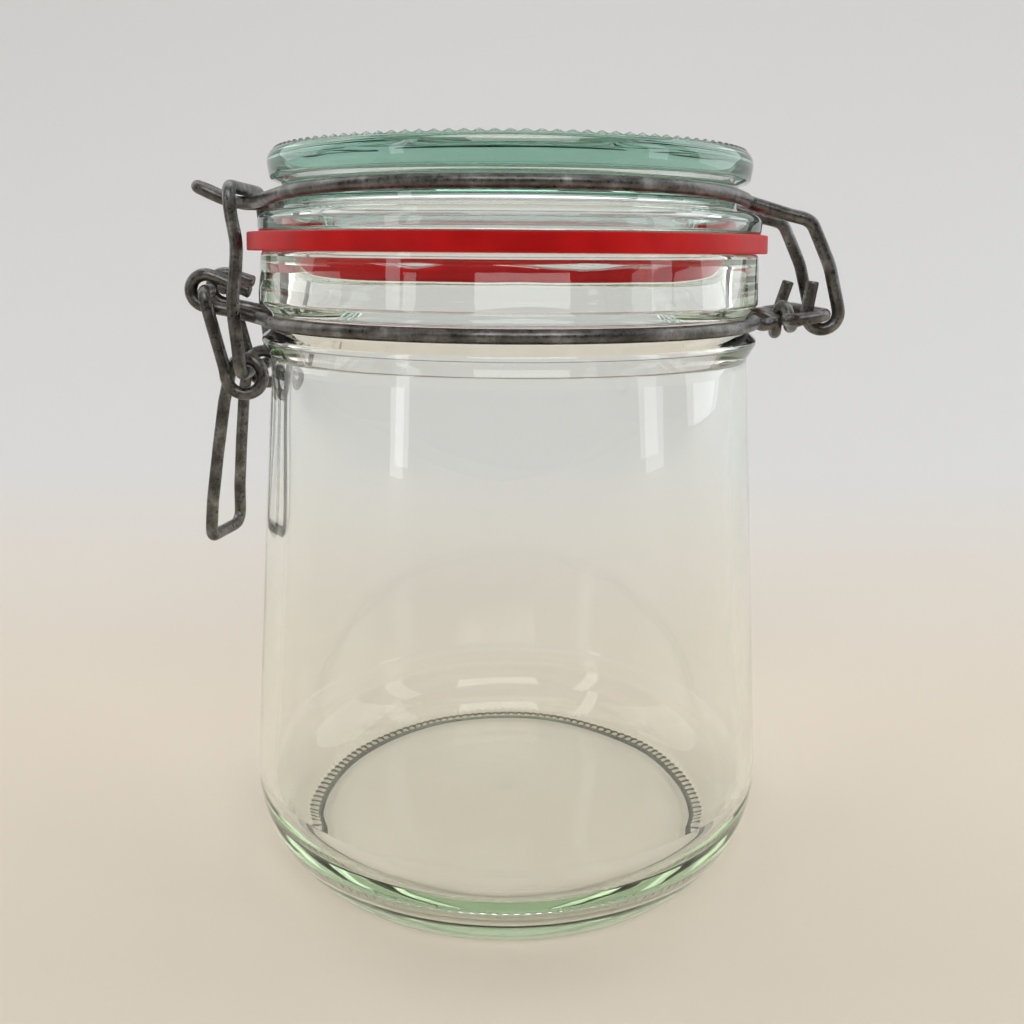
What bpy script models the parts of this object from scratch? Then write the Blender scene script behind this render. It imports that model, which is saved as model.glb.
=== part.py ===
# Clip-top canning jar: a one-litre glass jar with a glass lid, a rubber ring and a wire clamp.
# Metres, +Z up. The origin is on the jar's axis, at the height of the surface it stands on.
# The clamp is on the -X side and the hinge on the +X side; the jar is shut.

import math

import bpy

MM = 0.001
MERGE = 0.00001
SIDES = 54

# Jar body. Radii and heights in millimetres; pairs are (radius, height).
FLOOR_Z = 7.0
FLOOR_FLAT = (30.0, 6.2)
WALL = 3.4
INNER_HEEL_R = 14.0
INNER_HEEL_Z = 18.5
INNER_HEEL_START = -80.0
INNER_HEEL_STEPS = 6
SHOULDER_R = 50.4
SHOULDER_Z = 108.8
THROAT = (46.8, 116.0)
RIM_INNER = (47.3, 121.0)
MOUTH_R = 45.05
MOUTH_Z = 131.6
MOUTH_ROUND = 0.5
RIM_TOP_R = 51.5
RIM_ROUND = 1.1
RIM_ROUND_STEPS = 3
RIM_UNDERSIDE = ((52.0, 122.7), (51.4, 121.2))
NECK_R = 49.7
NECK_LOW_Z = 116.6
NECK_HIGH_Z = 119.4
BEAD = ((51.0, 115.5), (52.0, 114.5), (52.2, 113.6), (51.7, 112.6), (50.4, 110.9))
HEEL_R = 24.0
HEEL_CENTRE = (33.5, 18.0)
HEEL_START = 6.0
HEEL_END = -48.0
HEEL_STEPS = 8
FOOT = ((49.2, 0.0), (46.2, 0.0), (45.6, 0.9))
PUSH_UP_EDGE = (44.4, 1.4)
PUSH_UP_TOP = 3.4

# Rubber ring between the jar's mouth and the lid.
RING_OUTER_R = 53.65
RING_INNER_R = 46.8
RING_LOW_Z = 131.95
RING_HIGH_Z = 134.9
RING_SHIFT_X = -0.5
RING_CHAMFER = 0.35

# Lid, from the top down; pairs are (radius, height).
LID_PANEL_R = 42.6
LID_PANEL_Z = 149.0
LID_TOP_EDGE = ((44.6, 151.1), (45.6, 151.3), (47.5, 151.3), (48.2, 150.8))
DISC = ((49.5, 149.1), (49.5, 147.1), (49.0, 145.4))
GROOVE = ((46.5, 144.6), (46.5, 139.8))
FLANGE = ((48.0, 139.5), (50.4, 139.2), (51.4, 138.7), (51.8, 138.2), (51.8, 135.85), (51.2, 135.25))
SPIGOT = ((45.9, 135.25), (45.9, 133.9), (45.4, 133.4), (42.0, 133.4))
HOLLOW = ((41.0, 134.4), (40.0, 139.6), (37.6, 142.0))
HOLLOW_TOP = 142.0

# Wires. Every wire is bent from the same stock.
WIRE_R = 1.3
SEGMENT_ANGLE = math.radians(22.5)
STRAIGHT_ANGLE = math.radians(4.0)
LEAST_STEP = 0.35

# Neck wire.
NECK_RING_R = 51.4
NECK_RING_Z = 118.05
EYE_Y = 7.6
EYE_AXIS = (-62.6, 123.5)
EYE_R = 3.3
EYE_ARM = ((-52.0, 117.9), (-56.5, 119.1))
EYE_START = 75.0
EYE_END = 275.0
EYE_STEPS = 9
EYE_TAIL_FRONT = ((-57.5, 124.9), (-53.6, 123.2))
EYE_TAIL_REAR = ((-58.6, 125.6), (-56.4, 124.9))
NECK_RING_START = math.radians(-75.8)
NECK_RING_END = math.radians(83.0)
RING_STEPS = 28
HINGE_AXIS = (64.1, 119.8)
HINGE_ARM_Y = 14.1
HINGE_ARM = (57.4, 118.7)
HINGE_BEND_R = 2.0
STRANDS_X = 54.2
STRANDS_APART = 1.3
STRAND_BEND_R = 4.0
CORE_Y = 0.9
WRAP_START_X = 56.6
WRAP_PITCH = 3.0
WRAP_TURNS = 1.1
WRAP_STEPS = 14
WRAP_R = 2.85
WRAP_EXIT = (-0.2, 5.0, 0.8)
WRAP_BEND_R = 1.6
CORE_BEND_R = 1.8
LOOP_ENTRY_Y = 8.8
LOOP_ENTRY_BEND_R = 3.0

# Lid wire.
LID_RING_R = 48.5
LID_RING_Z = 143.05
LID_RING_DIP = 1.4
LID_LEG_Y = 11.0
LID_LEG_LEAVE = (47.3, 141.4)
LID_LEG = ((55.9, 139.3), (60.4, 138.3), (64.8, 129.4))
LID_LEG_BENDS = (6.0, 3.2, 8.0)
HOOK_CENTRE_Z = 120.0
HOOK_R = 3.3
HOOK_START = 180.0
HOOK_END = 370.0
HOOK_STEPS = 9
HOOK_END_FRONT = (61.6, 126.4)
HOOK_END_REAR = (62.5, 125.8)
NOSE_Y = 3.0
NOSE_LEAVE_ANGLE = math.radians(64.0)
NOSE_NECK = (-52.5, -4.4, 141.25)
NOSE_PATH = ((-56.6, 141.15), (-59.6, 142.0), (-64.7, 144.3))
NOSE_TIP = (-65.0, 144.45)
NOSE_BENDS = (4.0, 3.0, 8.0, 2.4)

# Lever.
LEVER_Y = 10.6
LEVER_END_Y = 4.9
HANDLE_Y = 7.6
LOOP_CENTRE = (-55.2, 106.1)
LOOP_R = 3.7
HANDLE_PATH = ((-60.4, 100.4), (-62.4, 89.5), (-64.2, 78.8))
HANDLE_END = (-65.1, 70.3)
HANDLE_REAR_LEAN = 2.6
HANDLE_BENDS = (4.0, 10.0, 10.0, 3.0)
LOOP_STEPS = 16
LOOP_ENTRY_Z = 107.1
END_BEND_R = 1.9

# Closing link, from the lever's loops up over the lid wire's nose.
LINK_Y = 13.7
LINK_END_Y = 5.8
LINK_PIVOT = (-55.0, 106.9)
LINK_PATH = (
    (-55.3, 112.9),
    (-55.75, 118.0),
    (-55.7, 122.5),
    (-54.8, 128.0),
    (-54.3, 133.1),
    (-55.1, 138.2),
)
LINK_TOP = (-55.5, 143.95)
LINK_LEG_BEND_R = 10.0
LINK_TOP_BEND_R = 2.6


def arc(centre, radius, start, end, steps):
    """Points of a round stretch, both ends included; angles in degrees from +R towards +Z."""
    points = []
    for i in range(steps + 1):
        angle = math.radians(start + (end - start) * i / steps)
        points.append((centre[0] + radius * math.cos(angle), centre[1] + radius * math.sin(angle)))
    return points


def material(name, colour, roughness, metallic=0.0, transmission=0.0):
    mat = bpy.data.materials.new(name)
    mat.use_nodes = True
    shader = mat.node_tree.nodes["Principled BSDF"]
    shader.inputs["Base Color"].default_value = (*colour, 1.0)
    shader.inputs["Roughness"].default_value = roughness
    shader.inputs["Metallic"].default_value = metallic
    shader.inputs["Transmission Weight"].default_value = transmission
    return mat


def turned(name, profile, mat, collection, closed=False):
    """Turn a profile of (radius, height) in millimetres about the Z axis."""
    mesh = bpy.data.meshes.new(name)
    points = [(r * MM, 0.0, z * MM) for r, z in profile]
    edges = [(i, i + 1) for i in range(len(points) - 1)]
    if closed:
        edges.append((len(points) - 1, 0))
    mesh.from_pydata(points, edges, [])
    obj = bpy.data.objects.new(name, mesh)
    collection.objects.link(obj)
    screw = obj.modifiers.new("Turn", "SCREW")
    screw.steps = SIDES
    screw.render_steps = SIDES
    screw.use_merge_vertices = True
    screw.merge_threshold = MERGE
    screw.use_smooth_shade = True
    mesh.materials.append(mat)
    return obj


def unit(vector):
    length = math.sqrt(sum(c * c for c in vector))
    return tuple(c / length for c in vector)


def rounded(points, radius):
    """Replace each inner corner of a 3-D path by an arc; radius may be one per corner."""
    radii = radius if isinstance(radius, (list, tuple)) else [radius] * (len(points) - 2)
    path = [points[0]]
    for before, corner, after, bend in zip(points, points[1:], points[2:], radii):
        a = unit([p - q for p, q in zip(before, corner)])
        b = unit([p - q for p, q in zip(after, corner)])
        opening = math.acos(max(-1.0, min(1.0, sum(p * q for p, q in zip(a, b)))))
        turn = math.pi - opening
        if turn < STRAIGHT_ANGLE:
            path.append(corner)
            continue
        reach = min(
            bend * math.tan(turn / 2.0),
            0.5 * math.dist(before, corner),
            0.5 * math.dist(after, corner),
        )
        bend = reach / math.tan(turn / 2.0)
        middle = unit([p + q for p, q in zip(a, b)])
        centre = [c + m * math.hypot(reach, bend) for c, m in zip(corner, middle)]
        first = [c + reach * p for c, p in zip(corner, a)]
        spoke = unit([p - q for p, q in zip(first, centre)])
        along = [-p for p in a]
        steps = max(1, math.ceil(turn / SEGMENT_ANGLE))
        for i in range(steps + 1):
            angle = turn * i / steps
            path.append(
                tuple(
                    c + bend * (s * math.cos(angle) + t * math.sin(angle))
                    for c, s, t in zip(centre, spoke, along)
                )
            )
    path.append(points[-1])
    return path


def clean(points):
    """Drop points that lie closer together than a wire's facets need."""
    kept = [points[0]]
    for point in points[1:-1]:
        if math.dist(point, kept[-1]) > LEAST_STEP and math.dist(point, points[-1]) > LEAST_STEP:
            kept.append(point)
    kept.append(points[-1])
    return kept


def mirrored(points):
    """The same stretch on the other side of the XZ plane, run backwards."""
    return [(x, -y, z) for x, y, z in reversed(points)]


def wire(name, path, mat, collection):
    """A round wire along a path in millimetres."""
    curve = bpy.data.curves.new(name, "CURVE")
    curve.dimensions = "3D"
    curve.bevel_depth = WIRE_R * MM
    curve.bevel_resolution = 2
    curve.use_fill_caps = True
    spline = curve.splines.new("POLY")
    path = clean(path)
    spline.points.add(len(path) - 1)
    for point, (x, y, z) in zip(spline.points, path):
        point.co = (x * MM, y * MM, z * MM, 1.0)
    obj = bpy.data.objects.new(name, curve)
    collection.objects.link(obj)
    curve.materials.append(mat)
    return obj


def jar_profile():
    """From the middle of the inner floor, up the inside, down the outside, to under the floor."""
    inner_heel_centre = (HEEL_CENTRE[0] + HEEL_R - WALL - INNER_HEEL_R, INNER_HEEL_Z)
    rim_round_centre = (RIM_TOP_R - RIM_ROUND, MOUTH_Z - RIM_ROUND)
    profile = [(0.0, FLOOR_Z), FLOOR_FLAT]
    profile += arc(inner_heel_centre, INNER_HEEL_R, INNER_HEEL_START, 0.0, INNER_HEEL_STEPS)
    profile += [(SHOULDER_R - WALL, SHOULDER_Z), THROAT, RIM_INNER]
    profile += [(MOUTH_R, MOUTH_Z - MOUTH_ROUND), (MOUTH_R + MOUTH_ROUND, MOUTH_Z)]
    profile += arc(rim_round_centre, RIM_ROUND, 90.0, 0.0, RIM_ROUND_STEPS)
    profile += [*RIM_UNDERSIDE, (NECK_R, NECK_HIGH_Z), (NECK_R, NECK_LOW_Z)]
    profile += [*BEAD, (SHOULDER_R, SHOULDER_Z)]
    profile += arc(HEEL_CENTRE, HEEL_R, HEEL_START, HEEL_END, HEEL_STEPS)
    profile += [*FOOT, PUSH_UP_EDGE, (0.0, PUSH_UP_TOP)]
    return profile


def lid_profile():
    """From the middle of the top, down the outer side, to the middle of the hollow underside."""
    profile = [(0.0, LID_PANEL_Z), (LID_PANEL_R, LID_PANEL_Z)]
    profile += [*LID_TOP_EDGE, *DISC, *GROOVE, *FLANGE, *SPIGOT, *HOLLOW]
    profile += [(0.0, HOLLOW_TOP)]
    return profile


def rubber_profile():
    """A flat ring with its four edges broken."""
    inner, outer, c = RING_INNER_R, RING_OUTER_R, RING_CHAMFER
    low, high = RING_LOW_Z, RING_HIGH_Z
    return [
        (inner, high - c),
        (inner + c, high),
        (outer - c, high),
        (outer, high - c),
        (outer, low + c),
        (outer - c, low),
        (inner + c, low),
        (inner, low + c),
    ]


def ring_arc(radius, start, end, height):
    """Points round the jar; angle 0 is the front (-Y) and grows towards the hinge (+X)."""
    points = []
    for i in range(RING_STEPS + 1):
        angle = start + (end - start) * i / RING_STEPS
        z = height(angle) if callable(height) else height
        points.append((radius * math.sin(angle), -radius * math.cos(angle), z))
    return points


def neck_half(tail):
    """Neck wire from a cut tail, round its hairpin eye and along the front to the hinge."""
    x, z = EYE_AXIS
    y = -EYE_Y
    points = [(px, y, pz) for px, pz in reversed(tail)]
    points += [(px, y, pz) for px, pz in arc((x, z), EYE_R, EYE_START, EYE_END, EYE_STEPS)]
    points += [(px, y, pz) for px, pz in reversed(EYE_ARM)]
    points += ring_arc(NECK_RING_R, NECK_RING_START, NECK_RING_END, NECK_RING_Z)
    return points


def wrap_points():
    """The turn that the front strand takes round the rear one."""
    points = []
    for i in range(WRAP_STEPS + 1):
        turn = WRAP_TURNS * i / WRAP_STEPS
        angle = 2.0 * math.pi * turn
        y = -WRAP_R * math.cos(angle)
        z = NECK_RING_Z - WRAP_R * math.sin(angle)
        points.append((WRAP_START_X + WRAP_PITCH * turn, y, z))
    return points


def neck_wire_path():
    """Tail, eye, round the front to the hinge, the wrap and the hinge loop, and back again."""
    wrap = wrap_points()
    x, z = HINGE_AXIS
    arm_x, arm_z = HINGE_ARM
    last_x, _, last_z = wrap[-1]
    exit_x, exit_y, exit_z = WRAP_EXIT
    core_x = last_x + WIRE_R
    loop = [
        wrap[-1],
        (last_x + exit_x, -exit_y, last_z + exit_z),
        (arm_x, -LOOP_ENTRY_Y, arm_z),
        (arm_x, -HINGE_ARM_Y, arm_z),
        (x, -HINGE_ARM_Y, z),
        (x, HINGE_ARM_Y, z),
        (arm_x, HINGE_ARM_Y, arm_z),
        (arm_x, LOOP_ENTRY_Y, arm_z),
        (core_x, exit_y, NECK_RING_Z),
        (core_x, 0.0, NECK_RING_Z),
        (WRAP_START_X, 0.0, NECK_RING_Z),
        (STRANDS_X, CORE_Y, NECK_RING_Z + STRANDS_APART),
    ]
    bends = [WRAP_BEND_R, LOOP_ENTRY_BEND_R] + [HINGE_BEND_R] * 4
    bends += [LOOP_ENTRY_BEND_R, CORE_BEND_R, CORE_BEND_R, STRAND_BEND_R]
    front = neck_half(EYE_TAIL_FRONT)
    approach = (STRANDS_X, -WRAP_R - STRANDS_APART / 2.0, NECK_RING_Z - STRANDS_APART)
    entry = rounded([front[-1], approach, wrap[0]], STRAND_BEND_R)
    rear = mirrored(neck_half(EYE_TAIL_REAR))
    return front + entry[1:] + wrap[1:] + rounded(loop, bends)[1:] + rear


def lid_ring_height(angle):
    """The lid wire sinks a little towards the nose and the legs."""
    return LID_RING_Z - LID_RING_DIP * math.sin(angle) ** 4


def lid_wire_half(cut_end):
    """Front half, from the cut end beside the hinge bar to the tip of the nose."""
    x, _ = HINGE_AXIS
    y = -LID_LEG_Y
    hook = arc((x, HOOK_CENTRE_Z), HOOK_R, HOOK_START, HOOK_END, HOOK_STEPS)
    points = [(px, y, pz) for px, pz in [cut_end, *hook]]
    leg = [points[-1]]
    leg += [(px, y, pz) for px, pz in reversed(LID_LEG)]
    leg += [(LID_LEG_LEAVE[0], y, LID_LEG_LEAVE[1])]
    points += rounded(leg, LID_LEG_BENDS)[1:-1]
    start = math.acos(LID_LEG_Y / LID_RING_R)
    points += ring_arc(LID_RING_R, start, -NOSE_LEAVE_ANGLE, lid_ring_height)
    nose = [points[-1], NOSE_NECK]
    nose += [(px, -NOSE_Y, pz) for px, pz in NOSE_PATH]
    nose += [(NOSE_TIP[0], 0.0, NOSE_TIP[1])]
    return points + rounded(nose, NOSE_BENDS)[1:]


def lid_wire_path():
    return lid_wire_half(HOOK_END_FRONT) + mirrored(lid_wire_half(HOOK_END_REAR))[1:]


def lever_half(lean):
    """Front half, from the end in the neck wire's eye to the middle of the handle."""
    x, z = EYE_AXIS
    loop_x, loop_z = LOOP_CENTRE
    end_x, end_z = HANDLE_END
    entry = (loop_x - LOOP_R, -LEVER_Y, LOOP_ENTRY_Z)
    points = rounded([(x, -LEVER_END_Y, z), (x, -LEVER_Y, z), entry], END_BEND_R)
    for i in range(LOOP_STEPS + 1):
        angle = math.pi + 2.0 * math.pi * i / LOOP_STEPS
        y = -LEVER_Y + (LEVER_Y - HANDLE_Y) * i / LOOP_STEPS
        points.append((loop_x + LOOP_R * math.cos(angle), y, loop_z + LOOP_R * math.sin(angle)))
    handle = [points[-1]]
    for px, pz in HANDLE_PATH:
        handle.append((px + lean * (loop_z - pz) / (loop_z - end_z), -HANDLE_Y, pz))
    handle += [(end_x + lean, -HANDLE_Y, end_z), (end_x + lean / 2.0, 0.0, end_z)]
    return points + rounded(handle, HANDLE_BENDS)[1:]


def lever_path():
    """The rear leg leans a little towards the jar, so the handle's end runs askew."""
    front = lever_half(0.0)
    rear = mirrored(lever_half(HANDLE_REAR_LEAN))
    return front[:-1] + rear[1:]


def link_half():
    """Front half, from the end in the lever's loop to the middle of the top bar."""
    x, z = LINK_PIVOT
    leg = [(x, -LINK_END_Y, z), (x, -LINK_Y, z)]
    leg += [(px, -LINK_Y, pz) for px, pz in LINK_PATH]
    leg += [(LINK_TOP[0], -LINK_Y, LINK_TOP[1]), (LINK_TOP[0], 0.0, LINK_TOP[1])]
    bends = [END_BEND_R] + [LINK_LEG_BEND_R] * len(LINK_PATH) + [LINK_TOP_BEND_R]
    return rounded(leg, bends)


def link_path():
    half = link_half()
    return half + mirrored(half)[1:]


def clear_scene():
    for obj in list(bpy.data.objects):
        bpy.data.objects.remove(obj, do_unlink=True)


def build():
    clear_scene()
    parts = bpy.data.collections.new("canning_jar")
    bpy.context.scene.collection.children.link(parts)
    glass = material("glass", (0.80, 0.90, 0.86), 0.02, transmission=1.0)
    lid_glass = material("lid_glass", (0.70, 0.86, 0.78), 0.02, transmission=1.0)
    rubber = material("rubber", (0.42, 0.015, 0.02), 0.45)
    zinc = material("zinc_wire", (0.28, 0.27, 0.24), 0.45, metallic=0.9)
    turned("jar", jar_profile(), glass, parts)
    turned("lid", lid_profile(), lid_glass, parts)
    gasket = turned("gasket", rubber_profile(), rubber, parts, closed=True)
    gasket.location = (RING_SHIFT_X * MM, 0.0, 0.0)
    wire("neck_wire", neck_wire_path(), zinc, parts)
    wire("lid_wire", lid_wire_path(), zinc, parts)
    wire("lever", lever_path(), zinc, parts)
    wire("link", link_path(), zinc, parts)


build()
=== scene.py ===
"""Looks of the clip-top canning jar: clear glass, red rubber and dull galvanised wire.

Every piece is turned or bent from named sizes in millimetres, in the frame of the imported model.
"""

import math

import bpy
import numpy as np
from mathutils import Matrix, Vector, noise


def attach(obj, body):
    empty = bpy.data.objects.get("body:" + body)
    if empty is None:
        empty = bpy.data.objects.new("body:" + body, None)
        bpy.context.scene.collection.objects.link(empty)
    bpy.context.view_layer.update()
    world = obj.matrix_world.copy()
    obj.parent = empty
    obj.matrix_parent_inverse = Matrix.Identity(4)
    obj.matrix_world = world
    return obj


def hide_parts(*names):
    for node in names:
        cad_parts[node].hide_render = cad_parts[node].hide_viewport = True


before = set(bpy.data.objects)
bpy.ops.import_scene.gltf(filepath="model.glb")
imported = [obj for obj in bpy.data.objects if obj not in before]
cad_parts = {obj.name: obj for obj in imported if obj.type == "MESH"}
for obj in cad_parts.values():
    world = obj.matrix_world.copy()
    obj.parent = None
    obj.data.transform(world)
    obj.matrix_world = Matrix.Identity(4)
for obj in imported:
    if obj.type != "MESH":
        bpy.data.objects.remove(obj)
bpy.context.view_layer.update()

MM = 0.001

# Camera, fitted to the round rims in the photograph.
CAMERA_PLACE = (0.0, -0.2243, 0.1321)
CAMERA_TILT = 14.34
CAMERA_YAW = -0.224
CAMERA_ROLL = 0.43
CAMERA_LENS = 36.035
SENSOR = 36.0

# Jar body. Radii and heights in millimetres; pairs are (radius, height).
FLOOR_Z = 7.0
FLOOR_FLAT = (30.0, 6.2)
WALL = 3.4
INNER_HEEL_R = 14.0
INNER_HEEL_Z = 18.5
INNER_HEEL_START = -80.0
SHOULDER_R = 50.4
SHOULDER_Z = 108.8
THROAT = (46.8, 116.0)
RIM_INNER = (47.3, 121.0)
MOUTH_R = 45.05
MOUTH_Z = 131.6
MOUTH_ROUND = 0.5
RIM_TOP_R = 51.5
RIM_ROUND = 1.1
RIM_LOW_R = 52.0
RIM_LOW_Z = 121.7
NECK_R = 49.7
NECK_LOW_Z = 116.6
NECK_HIGH_Z = 119.4
BEAD_LOW_Z = 110.9
BEAD_TOP = (52.35, 114.4)
HEEL_R = 24.0
HEEL_CENTRE = (33.5, 18.0)
HEEL_START = 6.0
HEEL_END = -46.0
FOOT_OUTER_R = 49.2
FOOT_INNER_R = 46.2
PUSH_UP_EDGE = (44.6, 1.3)
PUSH_UP_FLAT = (41.0, 1.6)
PUSH_UP_TOP = 3.4

# Rubber ring.
RING_OUTER_R = 53.65
RING_INNER_R = 46.8
RING_LOW_Z = 131.64
RING_HIGH_Z = 135.21
RING_SHIFT_X = -0.5
RING_CORNER = 0.3
RING_SIDES = 256

# Lid, from the top down; (radius, height, corner radius).
LID_TOP_Z = 150.9
LID_CORNERS = (
    (0.0, 149.0, 0.0),
    (42.2, 149.0, 2.0),
    (44.9, LID_TOP_Z, 1.0),
    (48.5, LID_TOP_Z, 1.4),
    (49.5, 149.1, 3.0),
    (49.0, 145.4, 1.0),
    (46.5, 144.6, 1.0),
    (46.5, 139.8, 1.0),
    (50.6, 139.2, 2.4),
    (51.8, 137.9, 1.4),
    (51.8, 135.25, 0.7),
    (45.9, 135.25, 0.3),
    (45.9, 133.4, 0.5),
    (42.0, 133.4, 1.0),
    (40.0, 141.6, 3.5),
    (0.0, 142.0, 0.0),
)

# Fineness of the meshes.
CORNER_STEP = math.radians(15.0)
STRAIGHT = 0.02
RIM_FROM_Z = 112.0
RIM_ROW_STEP = 1.4
WALL_ROW_STEP = 3.6

# Slow waves in the pressed glass: (amount, size of a wave, place in the noise).
INNER_WAVES = (0.10, 16.0, 3.0)
OUTER_WAVES = (0.05, 20.0, 9.0)
RIM_WAVES = (0.035, 9.0, 5.0)
WAVES_TALL = 2.2
WALL_WAVES_Z = (18.0, 108.0)
RIM_WAVES_Z = (117.0, 129.5)

# Moulded dots.
LID_DOTS = 117
LID_DOT_R = 47.6
LID_DOT_SIZE = 0.62
LID_DOT_HIGH = 0.45
BASE_DOTS = 138
BASE_DOT_R = 48.0
BASE_DOT_SIZE = 0.95
BASE_DOT_DEEP = 0.55
BASE_DOT_ACROSS = 1.3
BASE_DOT_REACH = 2.6
BASE_DOT_LOW = 0.6
FOOT_ROWS = (44.0, 0.9)
SIDES_PER_BASE_DOT = 4
SIDES_PER_LID_DOT = 5
LID_DOT_BAND = 1.6
LID_DOT_SPAN = 1.6
LID_DOT_ROW_STEP = 0.22

# Wires.
WIRE_R = 1.3
WIRE_SIDES = 16
WIRE_UNEVEN = 0.018
WIRE_UNEVEN_SIZE = 3.0
CUT_END_R = 0.80
CUT_END_STEP = 0.22
WIRE_STEP = 0.7
WIRE_LEAST_STEP = 0.35
SMOOTH_PASSES = 3
SHARP_ANGLE = math.radians(50.0)
SEGMENT_ANGLE = math.radians(9.0)
NECK_RING_R = 51.4
NECK_RING_Z = 118.05
EYE_Y = 7.6
EYE_AXIS = (-62.6, 123.5)
EYE_R = 3.3
EYE_ARM = ((-52.0, 117.9), (-56.5, 119.1))
EYE_START = 75.0
EYE_END = 275.0
EYE_TAIL_FRONT = ((-57.5, 124.9), (-53.6, 123.2))
EYE_TAIL_REAR = ((-58.6, 125.6), (-56.4, 124.9))
NECK_RING_START = math.radians(-75.8)
NECK_RING_END = math.radians(83.0)
RING_STEPS = 90
HINGE_AXIS = (64.1, 119.8)
HINGE_ARM_Y = 14.1
HINGE_ARM = (57.4, 118.7)
HINGE_BEND_R = 2.0
STRANDS_X = 54.2
STRANDS_APART = 1.3
STRAND_BEND_R = 4.0
CORE_Y = 0.9
WRAP_START_X = 56.6
WRAP_PITCH = 3.0
WRAP_TURNS = 1.1
WRAP_STEPS = 40
WRAP_R = 2.85
WRAP_EXIT = (-0.2, 5.0, 0.8)
WRAP_BEND_R = 1.6
CORE_BEND_R = 1.8
LOOP_ENTRY_Y = 8.8
LOOP_ENTRY_BEND_R = 3.0
LID_RING_R = 48.5
LID_RING_Z = 143.05
LID_RING_DIP = 1.4
LID_LEG_Y = 11.0
LID_LEG_LEAVE = (47.3, 141.4)
LID_LEG = ((55.9, 139.3), (60.4, 138.3), (64.8, 129.4))
LID_LEG_BENDS = (6.0, 3.2, 8.0)
HOOK_CENTRE_Z = 120.0
HOOK_R = 3.3
HOOK_START = 180.0
HOOK_END = 370.0
HOOK_END_FRONT = (61.6, 126.4)
HOOK_END_REAR = (62.5, 125.8)
NOSE_Y = 3.0
NOSE_LEAVE_ANGLE = math.radians(64.0)
NOSE_NECK = (-52.5, -4.4, 141.25)
NOSE_PATH = ((-56.6, 141.15), (-59.6, 142.0), (-64.7, 144.3))
NOSE_TIP = (-65.0, 144.45)
NOSE_BENDS = (4.0, 3.0, 8.0, 2.4)
LEVER_Y = 10.6
LEVER_END_Y = 4.9
HANDLE_Y = 7.6
LOOP_CENTRE = (-55.2, 106.1)
LOOP_R = 3.7
HANDLE_PATH = ((-60.4, 100.4), (-62.4, 89.5), (-64.2, 78.8))
HANDLE_END = (-65.1, 70.3)
HANDLE_REAR_LEAN = 2.6
HANDLE_BENDS = (4.0, 10.0, 10.0, 3.0)
LOOP_STEPS = 44
LOOP_ENTRY_Z = 107.1
END_BEND_R = 1.9
LINK_Y = 13.7
LINK_END_Y = 5.8
LINK_PIVOT = (-55.0, 106.9)
LINK_PATH = (
    (-55.3, 112.9),
    (-55.75, 118.0),
    (-55.7, 122.5),
    (-54.8, 128.0),
    (-54.3, 133.1),
    (-55.1, 138.2),
)
LINK_TOP = (-55.5, 143.95)
LINK_LEG_BEND_R = 10.0
LINK_TOP_BEND_R = 2.6


def arc(centre, radius, start, end, step_angle=SEGMENT_ANGLE):
    """Points of a round stretch, both ends included; angles in degrees from +R towards +Z."""
    steps = max(2, math.ceil(math.radians(abs(end - start)) / step_angle))
    points = []
    for i in range(steps + 1):
        angle = math.radians(start + (end - start) * i / steps)
        points.append((centre[0] + radius * math.cos(angle), centre[1] + radius * math.sin(angle)))
    return points


def unit(vector):
    length = math.sqrt(sum(c * c for c in vector))
    return tuple(c / length for c in vector)


def rounded(points, radius, step_angle=SEGMENT_ANGLE):
    """Replace each inner corner of a path by an arc; radius may be one per corner."""
    radii = radius if isinstance(radius, (list, tuple)) else [radius] * (len(points) - 2)
    path = [points[0]]
    for before, corner, after, bend in zip(points, points[1:], points[2:], radii):
        a = unit([p - q for p, q in zip(before, corner)])
        b = unit([p - q for p, q in zip(after, corner)])
        opening = math.acos(max(-1.0, min(1.0, sum(p * q for p, q in zip(a, b)))))
        turn = math.pi - opening
        if bend <= 0.0 or turn < math.radians(1.0):
            path.append(corner)
            continue
        reach = min(
            bend * math.tan(turn / 2.0),
            0.5 * math.dist(before, corner),
            0.5 * math.dist(after, corner),
        )
        bend = reach / math.tan(turn / 2.0)
        middle = unit([p + q for p, q in zip(a, b)])
        centre = [c + m * math.hypot(reach, bend) for c, m in zip(corner, middle)]
        first = [c + reach * p for c, p in zip(corner, a)]
        spoke = unit([p - q for p, q in zip(first, centre)])
        along = [-p for p in a]
        steps = max(2, math.ceil(turn / step_angle))
        for i in range(steps + 1):
            angle = turn * i / steps
            path.append(
                tuple(
                    c + bend * (s * math.cos(angle) + t * math.sin(angle))
                    for c, s, t in zip(centre, spoke, along)
                )
            )
    path.append(points[-1])
    return path


def spread(path, longest):
    """Split long runs of a path, so that no step is longer than asked."""
    points = [path[0]]
    for a, b in zip(path, path[1:]):
        length = math.dist(a, b)
        if length < 1e-6:
            continue
        steps = max(1, math.ceil(length / longest))
        for i in range(1, steps + 1):
            points.append(tuple(p + (q - p) * i / steps for p, q in zip(a, b)))
    return points


def outline(corners, longest):
    """A profile from (radius, height, corner radius) values: corners rounded, long runs split."""
    points = [(r, z) for r, z, _ in corners]
    bends = [bend for _, _, bend in corners[1:-1]]
    return spread(rounded(points, bends, CORNER_STEP), longest)


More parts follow.
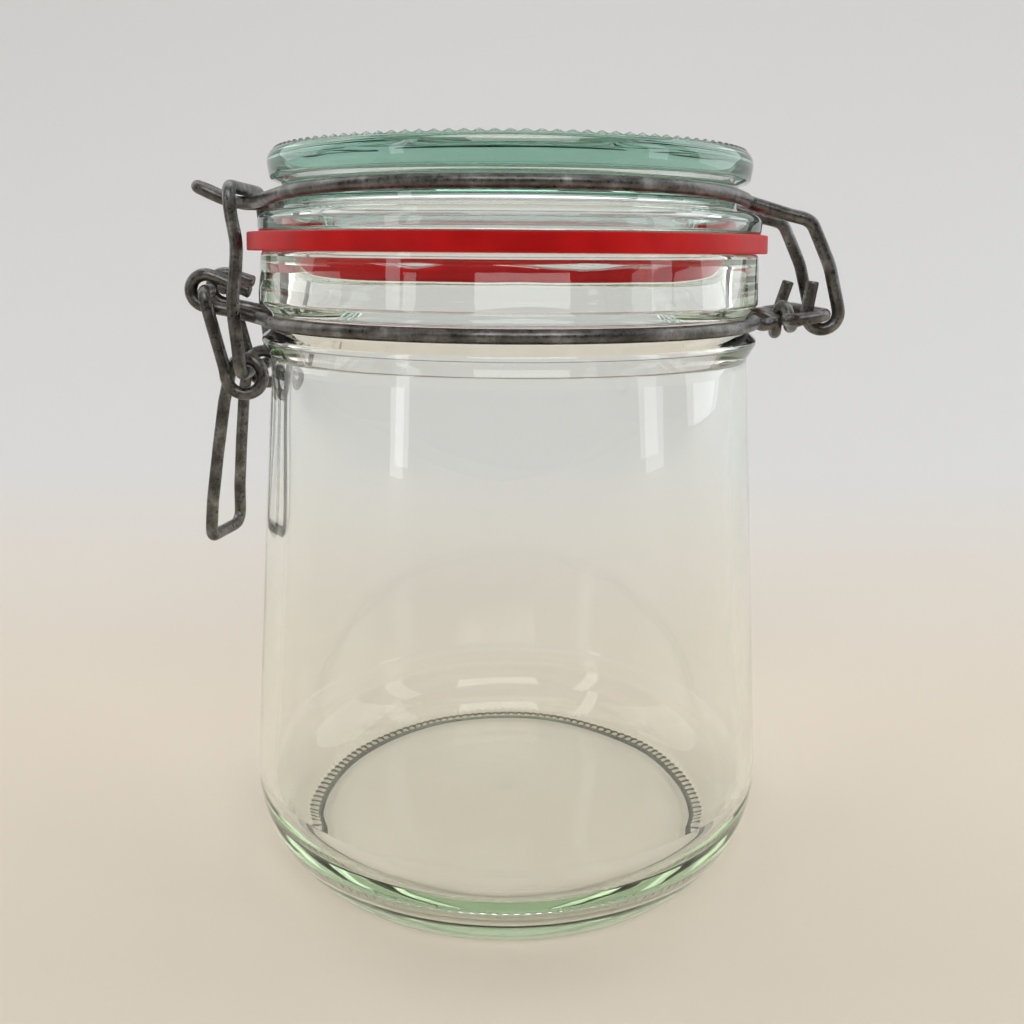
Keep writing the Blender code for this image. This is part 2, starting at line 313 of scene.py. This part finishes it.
def turned(name, profile, sides, mat, body, slot, node, shape=None, centre_x=0.0):
    """A turned piece; shape(r, z, angle, row) may move a row's points, all in millimetres."""
    r, z = np.array(profile).T
    angle = np.arange(sides) * (2.0 * math.pi / sides)
    ring = r > 1e-6
    rows = []
    verts = []
    count = 0
    for i in range(len(r)):
        if ring[i]:
            rr = np.full(sides, r[i])
            zz = np.full(sides, z[i])
            if shape is not None:
                rr, zz = shape(rr, zz, angle, i)
            across = centre_x + rr * np.sin(angle)
            verts.append(np.stack([across, -rr * np.cos(angle), zz], axis=1))
            rows.append((count, sides))
            count += sides
        else:
            verts.append(np.array([[centre_x, 0.0, z[i]]]))
            rows.append((count, 1))
            count += 1
    faces = []
    for (a, na), (b, nb) in zip(rows, rows[1:]):
        for k in range(sides):
            n = (k + 1) % sides
            if na == 1:
                faces.append((a, b + k, b + n))
            elif nb == 1:
                faces.append((a + k, b, a + n))
            else:
                faces.append((a + k, b + k, b + n, a + n))
    if rows[0][1] > 1 and rows[-1][1] > 1:
        a, b = rows[-1][0], rows[0][0]
        for k in range(sides):
            n = (k + 1) % sides
            faces.append((a + k, b + k, b + n, a + n))
    mesh = bpy.data.meshes.new(name)
    mesh.from_pydata((np.concatenate(verts) * MM).tolist(), [], faces)
    mesh.validate()
    mesh.shade_smooth()
    mesh.materials.append(mat)
    obj = bpy.data.objects.new(name, mesh)
    bpy.context.scene.collection.objects.link(obj)
    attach(obj, body)
    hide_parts(node)
    return obj


def jar_outline():
    """From the middle of the inner floor, up the inside, down the outside, to under the floor."""
    inner_wall_r = HEEL_CENTRE[0] + HEEL_R - WALL
    inner_heel_centre = (inner_wall_r - INNER_HEEL_R, INNER_HEEL_Z)
    inner_heel = arc(inner_heel_centre, INNER_HEEL_R, INNER_HEEL_START, 0.0)
    profile = outline([(0.0, FLOOR_Z, 0.0), (*FLOOR_FLAT, 30.0), (*inner_heel[0], 0.0)], 2.4)
    profile += inner_heel[1:]
    heel = arc(HEEL_CENTRE, HEEL_R, HEEL_START, HEEL_END)
    corners = [
        (inner_wall_r, INNER_HEEL_Z, 0.0),
        (SHOULDER_R - WALL, SHOULDER_Z, 8.0),
        (*THROAT, 8.0),
        (*RIM_INNER, 5.0),
        (MOUTH_R, MOUTH_Z, MOUTH_ROUND),
        (RIM_TOP_R, MOUTH_Z, RIM_ROUND),
        (RIM_LOW_R, RIM_LOW_Z, 1.2),
        (NECK_R, NECK_HIGH_Z, 2.0),
        (NECK_R, NECK_LOW_Z, 1.6),
        (*BEAD_TOP, 1.1),
        (SHOULDER_R, BEAD_LOW_Z, 1.6),
        (SHOULDER_R, SHOULDER_Z, 3.0),
        (HEEL_CENTRE[0] + HEEL_R, HEEL_CENTRE[1] + 3.0, 30.0),
        (*heel[0], 0.0),
    ]
    profile += outline(corners, 1.6)[1:]
    profile += spread(heel, 1.0)[1:]
    foot = [
        (*heel[-1], 0.0),
        (FOOT_OUTER_R, 0.0, 0.9),
        (FOOT_INNER_R, 0.0, 0.9),
        (*PUSH_UP_EDGE, 1.2),
        (*PUSH_UP_FLAT, 20.0),
        (0.0, PUSH_UP_TOP, 0.0),
    ]
    return profile + outline(foot, 0.5)[1:]


def thin_out(profile):
    """Drop close points on straight runs, except where the foot carries its dots."""
    kept = [profile[0]]
    for before, point, after in zip(profile, profile[1:], profile[2:]):
        a = np.subtract(point, before)
        b = np.subtract(after, point)
        straight = abs(a[0] * b[1] - a[1] * b[0]) < STRAIGHT * (np.hypot(*a) * np.hypot(*b))
        on_foot = point[1] < FOOT_ROWS[1] and point[0] > FOOT_ROWS[0]
        row_step = RIM_ROW_STEP if point[1] > RIM_FROM_Z else WALL_ROW_STEP
        if on_foot or not straight or math.dist(point, kept[-1]) > row_step:
            kept.append(point)
    kept.append(profile[-1])
    return kept


def base_dots(r, z, angle):
    """Moulded dots on the bearing ring; they are cut upwards, so the foot stays at z = 0."""
    if z[0] < BASE_DOT_LOW and abs(r[0] - BASE_DOT_R) < BASE_DOT_REACH:
        pitch = 2.0 * math.pi / BASE_DOTS
        along = (np.mod(angle + pitch / 2.0, pitch) - pitch / 2.0) * r[0]
        far = np.clip(1.0 - (along / BASE_DOT_SIZE) ** 2, 0.0, 1.0)
        across = math.exp(-((r[0] - BASE_DOT_R) / BASE_DOT_ACROSS) ** 2)
        z = z + BASE_DOT_DEEP * across * (1.0 - np.sqrt(far))
    return r, z


def wavy(amount, scale, seed):
    """Slow unevenness of pressed glass, in millimetres."""

    def shape(r, z, angle):
        out = np.empty(len(r))
        for k in range(len(r)):
            place = Vector(
                (
                    r[k] * math.sin(angle[k]) / scale,
                    r[k] * math.cos(angle[k]) / scale,
                    z[k] / (scale * WAVES_TALL) + seed,
                )
            )
            out[k] = noise.noise(place)
        return out * amount

    return shape


def lid_dots(r, z, angle, _row):
    """A row of moulded dots that stands on the lid's top edge."""
    if z[0] > LID_TOP_Z - LID_DOT_BAND and abs(r[0] - LID_DOT_R) < LID_DOT_SIZE * LID_DOT_SPAN:
        pitch = 2.0 * math.pi / LID_DOTS
        along = (np.mod(angle + pitch / 2.0, pitch) - pitch / 2.0) * r[0]
        far = np.clip(1.0 - (along**2 + (r - LID_DOT_R) ** 2) / LID_DOT_SIZE**2, 0.0, 1.0)
        z = z + LID_DOT_HIGH * np.sqrt(far)
    return r, z


def ring_outline():
    corners = [
        (RING_INNER_R, (RING_LOW_Z + RING_HIGH_Z) / 2.0, 0.0),
        (RING_INNER_R, RING_HIGH_Z, RING_CORNER),
        (RING_OUTER_R - 0.15, RING_HIGH_Z, RING_CORNER),
        (RING_OUTER_R, RING_LOW_Z, RING_CORNER),
        (RING_INNER_R, RING_LOW_Z, RING_CORNER),
        (RING_INNER_R, (RING_LOW_Z + RING_HIGH_Z) / 2.0, 0.0),
    ]
    return outline(corners, 0.8)[:-1]


def mirrored(points):
    """The same stretch on the other side of the XZ plane, run backwards."""
    return [(x, -y, z) for x, y, z in reversed(points)]


def ring_arc(radius, start, end, height):
    """Points round the jar; angle 0 is the front (-Y) and grows towards the hinge (+X)."""
    points = []
    for i in range(RING_STEPS + 1):
        angle = start + (end - start) * i / RING_STEPS
        z = height(angle) if callable(height) else height
        points.append((radius * math.sin(angle), -radius * math.cos(angle), z))
    return points


def neck_half(tail):
    """Neck wire from a cut tail, round its hairpin eye and along the front to the hinge."""
    x, z = EYE_AXIS
    y = -EYE_Y
    points = [(px, y, pz) for px, pz in reversed(tail)]
    points += [(px, y, pz) for px, pz in arc((x, z), EYE_R, EYE_START, EYE_END)]
    points += [(px, y, pz) for px, pz in reversed(EYE_ARM)]
    points += ring_arc(NECK_RING_R, NECK_RING_START, NECK_RING_END, NECK_RING_Z)
    return points


def wrap_points():
    """The turn that the front strand takes round the rear one."""
    points = []
    for i in range(WRAP_STEPS + 1):
        turn = WRAP_TURNS * i / WRAP_STEPS
        angle = 2.0 * math.pi * turn
        y = -WRAP_R * math.cos(angle)
        z = NECK_RING_Z - WRAP_R * math.sin(angle)
        points.append((WRAP_START_X + WRAP_PITCH * turn, y, z))
    return points


def neck_wire_path():
    """Tail, eye, round the front to the hinge, the wrap and the hinge loop, and back again."""
    wrap = wrap_points()
    x, z = HINGE_AXIS
    arm_x, arm_z = HINGE_ARM
    last_x, _, last_z = wrap[-1]
    exit_x, exit_y, exit_z = WRAP_EXIT
    core_x = last_x + WIRE_R
    loop = [
        wrap[-1],
        (last_x + exit_x, -exit_y, last_z + exit_z),
        (arm_x, -LOOP_ENTRY_Y, arm_z),
        (arm_x, -HINGE_ARM_Y, arm_z),
        (x, -HINGE_ARM_Y, z),
        (x, HINGE_ARM_Y, z),
        (arm_x, HINGE_ARM_Y, arm_z),
        (arm_x, LOOP_ENTRY_Y, arm_z),
        (core_x, exit_y, NECK_RING_Z),
        (core_x, 0.0, NECK_RING_Z),
        (WRAP_START_X, 0.0, NECK_RING_Z),
        (STRANDS_X, CORE_Y, NECK_RING_Z + STRANDS_APART),
    ]
    bends = [WRAP_BEND_R, LOOP_ENTRY_BEND_R] + [HINGE_BEND_R] * 4
    bends += [LOOP_ENTRY_BEND_R, CORE_BEND_R, CORE_BEND_R, STRAND_BEND_R]
    front = neck_half(EYE_TAIL_FRONT)
    approach = (STRANDS_X, -WRAP_R - STRANDS_APART / 2.0, NECK_RING_Z - STRANDS_APART)
    entry = rounded([front[-1], approach, wrap[0]], STRAND_BEND_R)
    rear = mirrored(neck_half(EYE_TAIL_REAR))
    return front + entry[1:] + wrap[1:] + rounded(loop, bends)[1:] + rear


def lid_ring_height(angle):
    """The lid wire sinks a little towards the nose and the legs."""
    return LID_RING_Z - LID_RING_DIP * math.sin(angle) ** 4


def lid_wire_half(cut_end):
    """Front half, from the cut end beside the hinge bar to the tip of the nose."""
    x, _ = HINGE_AXIS
    y = -LID_LEG_Y
    hook = arc((x, HOOK_CENTRE_Z), HOOK_R, HOOK_START, HOOK_END)
    points = [(px, y, pz) for px, pz in [cut_end, *hook]]
    leg = [points[-1]]
    leg += [(px, y, pz) for px, pz in reversed(LID_LEG)]
    leg += [(LID_LEG_LEAVE[0], y, LID_LEG_LEAVE[1])]
    points += rounded(leg, LID_LEG_BENDS)[1:-1]
    start = math.acos(LID_LEG_Y / LID_RING_R)
    points += ring_arc(LID_RING_R, start, -NOSE_LEAVE_ANGLE, lid_ring_height)
    nose = [points[-1], NOSE_NECK]
    nose += [(px, -NOSE_Y, pz) for px, pz in NOSE_PATH]
    nose += [(NOSE_TIP[0], 0.0, NOSE_TIP[1])]
    return points + rounded(nose, NOSE_BENDS)[1:]


def lid_wire_path():
    return lid_wire_half(HOOK_END_FRONT) + mirrored(lid_wire_half(HOOK_END_REAR))[1:]


def lever_half(lean):
    """Front half, from the end in the neck wire's eye to the middle of the handle."""
    x, z = EYE_AXIS
    loop_x, loop_z = LOOP_CENTRE
    end_x, end_z = HANDLE_END
    entry = (loop_x - LOOP_R, -LEVER_Y, LOOP_ENTRY_Z)
    points = rounded([(x, -LEVER_END_Y, z), (x, -LEVER_Y, z), entry], END_BEND_R)
    for i in range(LOOP_STEPS + 1):
        angle = math.pi + 2.0 * math.pi * i / LOOP_STEPS
        y = -LEVER_Y + (LEVER_Y - HANDLE_Y) * i / LOOP_STEPS
        points.append((loop_x + LOOP_R * math.cos(angle), y, loop_z + LOOP_R * math.sin(angle)))
    handle = [points[-1]]
    for px, pz in HANDLE_PATH:
        handle.append((px + lean * (loop_z - pz) / (loop_z - end_z), -HANDLE_Y, pz))
    handle += [(end_x + lean, -HANDLE_Y, end_z), (end_x + lean / 2.0, 0.0, end_z)]
    return points + rounded(handle, HANDLE_BENDS)[1:]


def lever_path():
    """The rear leg leans a little towards the jar, so the handle's end runs askew."""
    front = lever_half(0.0)
    rear = mirrored(lever_half(HANDLE_REAR_LEAN))
    return front[:-1] + rear[1:]


def link_half():
    """Front half, from the end in the lever's loop to the middle of the top bar."""
    x, z = LINK_PIVOT
    leg = [(x, -LINK_END_Y, z), (x, -LINK_Y, z)]
    leg += [(px, -LINK_Y, pz) for px, pz in LINK_PATH]
    leg += [(LINK_TOP[0], -LINK_Y, LINK_TOP[1]), (LINK_TOP[0], 0.0, LINK_TOP[1])]
    bends = [END_BEND_R] + [LINK_LEG_BEND_R] * len(LINK_PATH) + [LINK_TOP_BEND_R]
    return rounded(leg, bends)


def link_path():
    half = link_half()
    return half + mirrored(half)[1:]


def smooth_path(points):
    """Even spacing, then a light smoothing that keeps both ends."""
    path = np.array(spread(points, WIRE_STEP))
    for _ in range(SMOOTH_PASSES):
        path[1:-1] = 0.25 * path[:-2] + 0.5 * path[1:-1] + 0.25 * path[2:]
    kept = [path[0]]
    for point in path[1:-1]:
        if np.linalg.norm(point - kept[-1]) > WIRE_LEAST_STEP:
            kept.append(point)
    kept.append(path[-1])
    return np.array(kept)


def wire(name, path, mat, body, node, seed):
    """A round wire swept along a path, with slightly uneven radius and broken cut ends."""
    path = smooth_path(path)
    count = len(path)
    tangent = np.gradient(path, axis=0)
    tangent /= np.linalg.norm(tangent, axis=1)[:, None]
    side = np.cross(tangent[0], (0.0, 0.0, 1.0))
    if np.linalg.norm(side) < 0.1:
        side = np.cross(tangent[0], (1.0, 0.0, 0.0))
    side /= np.linalg.norm(side)
    verts = []
    turn = np.arange(WIRE_SIDES) * (2.0 * math.pi / WIRE_SIDES)

    def add_ring(centre, across, up, radius):
        for a in turn:
            verts.append(centre + radius * (math.cos(a) * across + math.sin(a) * up))

    for i in range(count):
        side = side - tangent[i] * np.dot(side, tangent[i])
        side /= np.linalg.norm(side)
        up = np.cross(tangent[i], side)
        uneven = noise.noise(Vector(path[i] / WIRE_UNEVEN_SIZE) + Vector((seed, 0.0, 0.0)))
        radius = WIRE_R * (1.0 + WIRE_UNEVEN * uneven)
        if i == 0:
            add_ring(path[i], side, up, radius * CUT_END_R)
            add_ring(path[i] + tangent[i] * CUT_END_STEP, side, up, radius)
        elif i == count - 1:
            add_ring(path[i] - tangent[i] * CUT_END_STEP, side, up, radius)
            add_ring(path[i], side, up, radius * CUT_END_R)
        else:
            add_ring(path[i], side, up, radius)
    sides = WIRE_SIDES
    rings = len(verts) // sides
    faces = []
    for i in range(rings - 1):
        for k in range(sides):
            n = (k + 1) % sides
            faces.append((i * sides + k, i * sides + n, (i + 1) * sides + n, (i + 1) * sides + k))
    faces.append(tuple(reversed(range(sides))))
    faces.append(tuple((rings - 1) * sides + k for k in range(sides)))
    mesh = bpy.data.meshes.new(name)
    mesh.from_pydata([tuple(v * MM) for v in verts], [], faces)
    mesh.validate()
    mesh.shade_smooth()
    mesh.set_sharp_from_angle(angle=SHARP_ANGLE)
    mesh.materials.append(mat)
    obj = bpy.data.objects.new(name, mesh)
    bpy.context.scene.collection.objects.link(obj)
    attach(obj, body)
    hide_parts(node)
    return obj


def new_material(name):
    mat = bpy.data.materials.new(name)
    mat.use_nodes = True
    nodes = mat.node_tree.nodes
    return mat, nodes, mat.node_tree.links, nodes["Principled BSDF"]


def add_noise(nodes, links, scale, detail, vector):
    node = nodes.new("ShaderNodeTexNoise")
    node.inputs["Scale"].default_value = scale
    node.inputs["Detail"].default_value = detail
    links.new(vector, node.inputs["Vector"])
    return node


def ramp(nodes, links, source, stops):
    node = nodes.new("ShaderNodeValToRGB")
    links.new(source, node.inputs["Fac"])
    elements = node.color_ramp.elements
    while len(elements) < len(stops):
        elements.new(0.5)
    for element, (place, colour) in zip(elements, stops):
        element.position = place
        element.color = (*colour, 1.0)
    return node


def object_vector(nodes, links, stretch=(1.0, 1.0, 1.0)):
    coords = nodes.new("ShaderNodeTexCoord")
    mapping = nodes.new("ShaderNodeMapping")
    mapping.inputs["Scale"].default_value = stretch
    links.new(coords.outputs["Object"], mapping.inputs["Vector"])
    return mapping.outputs["Vector"]


def glass_material(name, absorb_colour, absorb_density, ripple):
    """Clear pressed glass: a faint surface ripple, and green only where it is thick."""
    mat, nodes, links, shader = new_material(name)
    shader.inputs["Base Color"].default_value = (1.0, 1.0, 1.0, 1.0)
    shader.inputs["Transmission Weight"].default_value = 1.0
    shader.inputs["IOR"].default_value = 1.51
    shader.inputs["Roughness"].default_value = 0.0
    vector = object_vector(nodes, links, (1.0, 1.0, 0.45))
    slow = add_noise(nodes, links, 55.0, 1.0, vector)
    bump = nodes.new("ShaderNodeBump")
    bump.inputs["Strength"].default_value = ripple
    bump.inputs["Distance"].default_value = 0.0006
    links.new(slow.outputs["Fac"], bump.inputs["Height"])
    links.new(bump.outputs["Normal"], shader.inputs["Normal"])
    volume = nodes.new("ShaderNodeVolumeAbsorption")
    volume.inputs["Color"].default_value = (*absorb_colour, 1.0)
    volume.inputs["Density"].default_value = absorb_density
    links.new(volume.outputs["Volume"], nodes["Material Output"].inputs["Volume"])
    return mat


def rubber_material():
    """Satin red rubber: slow changes of shade and gloss, and a fine grain."""
    mat, nodes, links, shader = new_material("red_rubber")
    vector = object_vector(nodes, links)
    cloud = add_noise(nodes, links, 120.0, 3.0, vector)
    colour = ramp(
        nodes,
        links,
        cloud.outputs["Fac"],
        [
            (0.30, (0.460, 0.002, 0.003)),
            (0.55, (0.570, 0.004, 0.005)),
            (0.80, (0.620, 0.012, 0.011)),
        ],
    )
    links.new(colour.outputs["Color"], shader.inputs["Base Color"])
    grain = add_noise(nodes, links, 1500.0, 2.0, vector)
    rough = nodes.new("ShaderNodeMapRange")
    rough.inputs["To Min"].default_value = 0.36
    rough.inputs["To Max"].default_value = 0.58
    links.new(cloud.outputs["Fac"], rough.inputs["Value"])
    links.new(rough.outputs["Result"], shader.inputs["Roughness"])
    bump = nodes.new("ShaderNodeBump")
    bump.inputs["Strength"].default_value = 0.25
    bump.inputs["Distance"].default_value = 0.0001
    links.new(grain.outputs["Fac"], bump.inputs["Height"])
    links.new(bump.outputs["Normal"], shader.inputs["Normal"])
    shader.inputs["Specular IOR Level"].default_value = 0.22
    return mat


def zinc_material():
    """Galvanised wire gone dull: mottled grey brown in random patches, with finer darker and
    lighter specks.
    """
    mat, nodes, links, shader = new_material("zinc_wire")
    vector = object_vector(nodes, links)
    blotch = add_noise(nodes, links, 260.0, 5.0, vector)
    speck = add_noise(nodes, links, 1400.0, 4.0, vector)
    base = ramp(
        nodes,
        links,
        blotch.outputs["Fac"],
        [
            (0.28, (0.070, 0.068, 0.062)),
            (0.46, (0.120, 0.118, 0.112)),
            (0.60, (0.185, 0.184, 0.178)),
            (0.76, (0.330, 0.332, 0.330)),
        ],
    )
    dark = ramp(
        nodes,
        links,
        speck.outputs["Fac"],
        [(0.34, (0.62, 0.60, 0.56)), (0.55, (1.0, 1.0, 1.0)), (0.75, (1.2, 1.18, 1.14))],
    )
    mix = nodes.new("ShaderNodeMix")
    mix.data_type = "RGBA"
    mix.blend_type = "MULTIPLY"
    mix.inputs["Factor"].default_value = 0.8
    links.new(base.outputs["Color"], mix.inputs["A"])
    links.new(dark.outputs["Color"], mix.inputs["B"])
    links.new(mix.outputs["Result"], shader.inputs["Base Color"])
    shader.inputs["Metallic"].default_value = 0.85
    rough = nodes.new("ShaderNodeMapRange")
    rough.inputs["From Min"].default_value = 0.3
    rough.inputs["From Max"].default_value = 0.7
    rough.inputs["To Min"].default_value = 0.24
    rough.inputs["To Max"].default_value = 0.46
    links.new(speck.outputs["Fac"], rough.inputs["Value"])
    links.new(rough.outputs["Result"], shader.inputs["Roughness"])
    bump = nodes.new("ShaderNodeBump")
    bump.inputs["Strength"].default_value = 0.5
    bump.inputs["Distance"].default_value = 0.0001
    links.new(speck.outputs["Fac"], bump.inputs["Height"])
    links.new(bump.outputs["Normal"], shader.inputs["Normal"])
    return mat


def make_jar(mat):
    profile = jar_outline()
    profile = thin_out(profile)
    inner = wavy(*INNER_WAVES)
    outer = wavy(*OUTER_WAVES)
    rim = wavy(*RIM_WAVES)
    top_row = max(range(len(profile)), key=lambda k: profile[k][1])

    def shape(r, z, angle, row):
        if WALL_WAVES_Z[0] < z[0] < WALL_WAVES_Z[1]:
            r = r + (inner if row < top_row else outer)(r, z, angle)
        elif RIM_WAVES_Z[0] < z[0] < RIM_WAVES_Z[1] and row < top_row:
            r = r + rim(r, z, angle)
        return base_dots(r, z, angle)

    sides = BASE_DOTS * SIDES_PER_BASE_DOT
    return turned("jar_glass", profile, sides, mat, "jar", "jar_glass", "jar", shape)


def make_lid(mat):
    profile = outline(LID_CORNERS, 1.5)
    fine = []
    for a, b in zip(profile, profile[1:]):
        fine.append(a)
        near = abs(0.5 * (a[0] + b[0]) - LID_DOT_R) < 1.0
        if near and a[1] > LID_TOP_Z - LID_DOT_BAND:
            fine += spread([a, b], LID_DOT_ROW_STEP)[1:-1]
    fine.append(profile[-1])
    sides = LID_DOTS * SIDES_PER_LID_DOT
    return turned("lid_glass", fine, sides, mat, "lid", "lid_glass", "lid", lid_dots)


def make_ring(mat):
    profile = ring_outline()
    names = ("lid", "red_rubber", "gasket")
    return turned("rubber_ring", profile, RING_SIDES, mat, *names, centre_x=RING_SHIFT_X)


def make_stage():
    """A plain pale floor that runs up into a pale backdrop."""
    width, near, far, high, bend = 2.4, -1.6, 0.9, 1.6, 0.5
    profile = [(near, 0.0), (far - bend, 0.0)]
    for i in range(1, 17):
        angle = math.radians(90.0 * i / 16)
        profile.append((far - bend + bend * math.sin(angle), bend - bend * math.cos(angle)))
    profile.append((far, high))
    verts = []
    for y, z in profile:
        verts += [(-width, y, z), (width, y, z)]
    faces = [(2 * i, 2 * i + 1, 2 * i + 3, 2 * i + 2) for i in range(len(profile) - 1)]
    mesh = bpy.data.meshes.new("floor")
    mesh.from_pydata(verts, [], faces)
    mesh.shade_smooth()
    mat, nodes, links, shader = new_material("pale_floor")
    coords = nodes.new("ShaderNodeTexCoord")
    split = nodes.new("ShaderNodeSeparateXYZ")
    links.new(coords.outputs["Object"], split.inputs["Vector"])
    colour = ramp(
        nodes,
        links,
        split.outputs["Y"],
        [(0.05, (0.66, 0.585, 0.48)), (0.40, (0.62, 0.615, 0.608))],
    )
    links.new(colour.outputs["Color"], shader.inputs["Base Color"])
    shader.inputs["Roughness"].default_value = 0.6
    mesh.materials.append(mat)
    obj = bpy.data.objects.new("floor", mesh)
    bpy.context.scene.collection.objects.link(obj)


def area_light(name, place, target, size, power, colour=(1.0, 1.0, 1.0)):
    data = bpy.data.lights.new(name, "AREA")
    data.shape = "RECTANGLE"
    data.size, data.size_y = size
    data.energy = power
    data.color = colour
    obj = bpy.data.objects.new(name, data)
    obj.location = place
    direction = Vector(target) - Vector(place)
    obj.rotation_euler = direction.to_track_quat("-Z", "Y").to_euler()
    bpy.context.scene.collection.objects.link(obj)
    return obj


def make_lights():
    """Soft light from behind and above, a fill from the front and two tall dim strips."""
    middle = (0.0, 0.0, 0.08)
    area_light("back_left", (-1.0, 0.55, 0.7), middle, (1.3, 1.3), 7.0, (1.0, 0.99, 0.97))
    area_light("back_right", (1.1, 0.5, 0.6), middle, (1.2, 1.3), 8.0, (0.96, 0.98, 1.0))
    area_light("top", (0.0, 0.25, 1.2), (0.0, 0.05, 0.0), (1.2, 1.0), 4.6)
    area_light("backdrop", (0.0, 0.35, 0.9), (0.0, 0.9, 0.35), (1.6, 0.5), 2.0)
    area_light("front_fill", (0.1, -0.9, 0.9), middle, (0.9, 0.5), 5.0)
    area_light("strip_left", (-0.85, -0.72, 0.45), middle, (0.14, 1.0), 1.2)
    area_light("strip_right", (1.0, -0.42, 0.45), middle, (0.22, 1.0), 1.3, (0.96, 0.98, 1.0))
    world = bpy.data.worlds.new("studio")
    bpy.context.scene.world = world
    world.use_nodes = True
    nodes, links = world.node_tree.nodes, world.node_tree.links
    coords = nodes.new("ShaderNodeTexCoord")
    toward = nodes.new("ShaderNodeVectorMath")
    toward.operation = "DOT_PRODUCT"
    toward.inputs[1].default_value = (0.0, 0.3, 0.7)
    links.new(coords.outputs["Generated"], toward.inputs[0])
    sky = ramp(
        nodes,
        links,
        toward.outputs["Value"],
        [(0.0, (0.16, 0.16, 0.16)), (0.2, (0.22, 0.22, 0.23)), (0.75, (0.95, 0.95, 0.97))],
    )
    background = nodes["Background"]
    links.new(sky.outputs["Color"], background.inputs["Color"])
    background.inputs["Strength"].default_value = 0.38


def let_light_through():
    """Light that crosses several walls of glass needs long paths, or it ends in black patches."""
    cycles = bpy.context.scene.cycles
    cycles.max_bounces = 24
    cycles.glossy_bounces = 16
    cycles.transmission_bounces = 24
    cycles.blur_glossy = 0.0


def make_camera():
    data = bpy.data.cameras.new("camera")
    data.sensor_width = SENSOR
    data.lens = CAMERA_LENS
    data.clip_start = 0.01
    camera = bpy.data.objects.new("camera", data)
    bpy.context.scene.collection.objects.link(camera)
    camera.matrix_world = (
        Matrix.Translation(CAMERA_PLACE)
        @ Matrix.Rotation(math.radians(CAMERA_YAW), 4, "Z")
        @ Matrix.Rotation(math.radians(90.0 - CAMERA_TILT), 4, "X")
        @ Matrix.Rotation(math.radians(CAMERA_ROLL), 4, "Z")
    )
    bpy.context.scene.camera = camera


def main():
    make_camera()
    make_stage()
    make_lights()
    let_light_through()
    jar_glass = glass_material("jar_glass", (0.20, 0.50, 0.0), 8.0, 0.12)
    lid_glass = glass_material("lid_glass", (0.0, 0.50, 0.32), 12.5, 0.08)
    zinc = zinc_material()
    make_jar(jar_glass)
    make_lid(lid_glass)
    make_ring(rubber_material())
    wire("neck_ring_wire", neck_wire_path(), zinc, "jar", "neck_wire", seed=1.0)
    wire("lid_bail_wire", lid_wire_path(), zinc, "lid", "lid_wire", seed=2.0)
    wire("lever_wire", lever_path(), zinc, "lever", "lever", seed=3.0)
    wire("link_wire", link_path(), zinc, "link", "link", seed=4.0)
    bpy.context.scene.view_settings.view_transform = "Standard"


main()
